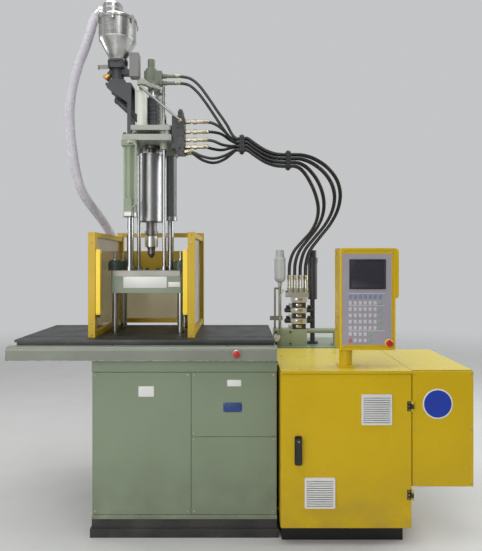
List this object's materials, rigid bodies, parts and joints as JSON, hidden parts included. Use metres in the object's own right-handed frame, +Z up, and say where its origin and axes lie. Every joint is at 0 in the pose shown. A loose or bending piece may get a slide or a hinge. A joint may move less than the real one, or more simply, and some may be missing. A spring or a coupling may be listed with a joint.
{
  "type": "vertical injection moulding machine",
  "caption": "Vertical hydraulic injection moulding machine with a long work table, guide-rod injection unit, hopper, guards, hose bundle, electrical cabinet and operator panel",
  "frame": {"origin": "on the floor, at the underside of the plinth below the clamp axis", "axes": "+Z up along the clamp axis, +X to the right towards the cabinet, +Y to the back; the operator stands at -Y"},
  "size_m": [2.537, 1.192, 3.168],
  "materials": {
    "machine_green": "semi-gloss grey-green machine enamel",
    "dark_green": "dark green enamel",
    "cylinder_green": "pale green enamel",
    "cabinet_yellow": "glossy yellow powder coat",
    "guard_yellow": "yellow powder coat",
    "black_metal": "matt black paint",
    "machined_steel": "fine ground steel",
    "bright_steel": "bright turned steel",
    "dark_steel": "heat-darkened steel",
    "stainless_sheet": "polished stainless sheet",
    "hard_chrome": "hard chrome",
    "device_grey": "moulded grey plastic",
    "grille_plastic": "light grey moulded plastic",
    "black_plastic": "black moulded plastic",
    "red_plastic": "red moulded plastic",
    "keypad_film": "grey membrane film",
    "curtain_yellow": "yellow anodised profile",
    "clear_sheet": "smoked clear polycarbonate",
    "hose_rubber": "black hydraulic hose",
    "loader_plastic": "translucent spiral hose",
    "fitting_steel": "plated hydraulic fittings",
    "brass_colour": "amber coloured metal",
    "silver_paint": "silver paint",
    "valve_dark": "dark phosphated steel"
  },
  "bodies": {
    "machine_base": {"base_plinth": "black_metal", "base_frame": "machine_green", "front_covers": "machine_green", "side_and_rear_covers": "machine_green", "table_bed": "dark_steel", "table_apron": "machine_green", "bed_plate": "machined_steel", "clamp_cylinder": "dark_green", "guard_frame": "guard_yellow", "guard_panels": "clear_sheet", "light_curtains": "curtain_yellow", "electrical_cabinet": "cabinet_yellow", "cabinet_devices": "device_grey", "side_box": "cabinet_yellow", "oil_tank": "machine_green", "return_filter": "valve_dark", "pump_motor": "dark_green", "valve_stack": "valve_dark", "accumulator": "silver_paint", "hydraulic_pipes": "fitting_steel", "manifold_hoses": "hose_rubber", "suction_lance": "bright_steel"},
    "platen": {"upper_platen": "machine_green", "tie_bars": "hard_chrome", "tie_bar_nuts": "dark_green", "clamp_ram": "machined_steel", "platen_deck": "machined_steel", "guide_and_lift_rods": "hard_chrome", "outer_hose_clamp": "black_plastic"},
    "carriage": {"seat_plate": "machine_green", "lift_cylinders": "cylinder_green", "feed_block": "valve_dark", "barrel": "dark_steel", "heater_bands": "bright_steel", "barrel_cover": "stainless_sheet", "nozzle": "dark_steel", "injection_cylinders": "cylinder_green", "valve_block": "valve_dark", "hose_fittings": "fitting_steel", "hopper_frame": "valve_dark", "drain_spout": "brass_colour", "hopper": "stainless_sheet", "loader_head": "stainless_sheet", "inner_hose_clamp": "black_plastic", "valve_hoses": "hose_rubber", "loader_hose": "loader_plastic"},
    "drive": {"drive_plate": "machined_steel", "hydraulic_motor": "cylinder_green", "motor_hoses": "hose_rubber"},
    "screw": {"screw": "bright_steel"},
    "gate": {"hopper_gate": "bright_steel"},
    "door": {"cabinet_door": "cabinet_yellow", "door_fittings": "black_metal", "filter_grilles": "grille_plastic"},
    "fan": {"fan_rotor": "black_plastic"},
    "handle": {"door_handle": "black_metal"},
    "operator_panel": {"panel_box": "cabinet_yellow", "keypad_plate": "keypad_film"},
    "panel_button": {"panel_stop_button": "red_plastic"},
    "table_button": {"table_stop_button": "red_plastic"}
  },
  "joints": [
    {"name": "clamp_stroke", "type": "slide", "parent": "machine_base", "child": "platen", "axis": [0, 0, 1], "range_m": [-0.12, 0.08], "deforming": ["loader_hose"]},
    {"name": "nozzle_retract", "type": "slide", "parent": "platen", "child": "carriage", "axis": [0, 0, 1], "range_m": [-0.1, 0.04]},
    {"name": "injection_stroke", "type": "slide", "parent": "carriage", "child": "drive", "axis": [0, 0, 1], "range_m": [0, 0.12]},
    {"name": "screw_turn", "type": "hinge", "parent": "drive", "child": "screw", "pos_m": [0, 0, 2.6], "axis": [0, 0, 1], "continuous": true},
    {"name": "hopper_shutoff", "type": "slide", "parent": "carriage", "child": "gate", "axis": [1, 0, 0], "range_m": [0, 0.066]},
    {"name": "cabinet_door_hinge", "type": "hinge", "parent": "machine_base", "child": "door", "pos_m": [1.4915, -0.497, 0.5155], "axis": [0, 0, 1], "range_deg": [0, 100]},
    {"name": "door_handle_turn", "type": "hinge", "parent": "door", "child": "handle", "pos_m": [0.878, -0.49, 0.571], "axis": [0, 1, 0], "range_deg": [0, 90]},
    {"name": "fan_turn", "type": "hinge", "parent": "door", "child": "fan", "pos_m": [1.299, -0.45, 0.736], "axis": [0, 1, 0], "continuous": true},
    {"name": "operator_panel_swivel", "type": "hinge", "parent": "machine_base", "child": "operator_panel", "pos_m": [1.155, -0.385, 1.05], "axis": [0, 0, 1], "range_deg": [-60, 60]},
    {"name": "panel_stop_push", "type": "slide", "parent": "operator_panel", "child": "panel_button", "axis": [0, 1, 0], "range_m": [0, 0.006], "stiffness_N_per_m": 600, "springref_m": -0.001},
    {"name": "table_stop_push", "type": "slide", "parent": "machine_base", "child": "table_button", "axis": [0, 1, 0], "range_m": [0, 0.006], "stiffness_N_per_m": 600, "springref_m": -0.001}
  ]
}
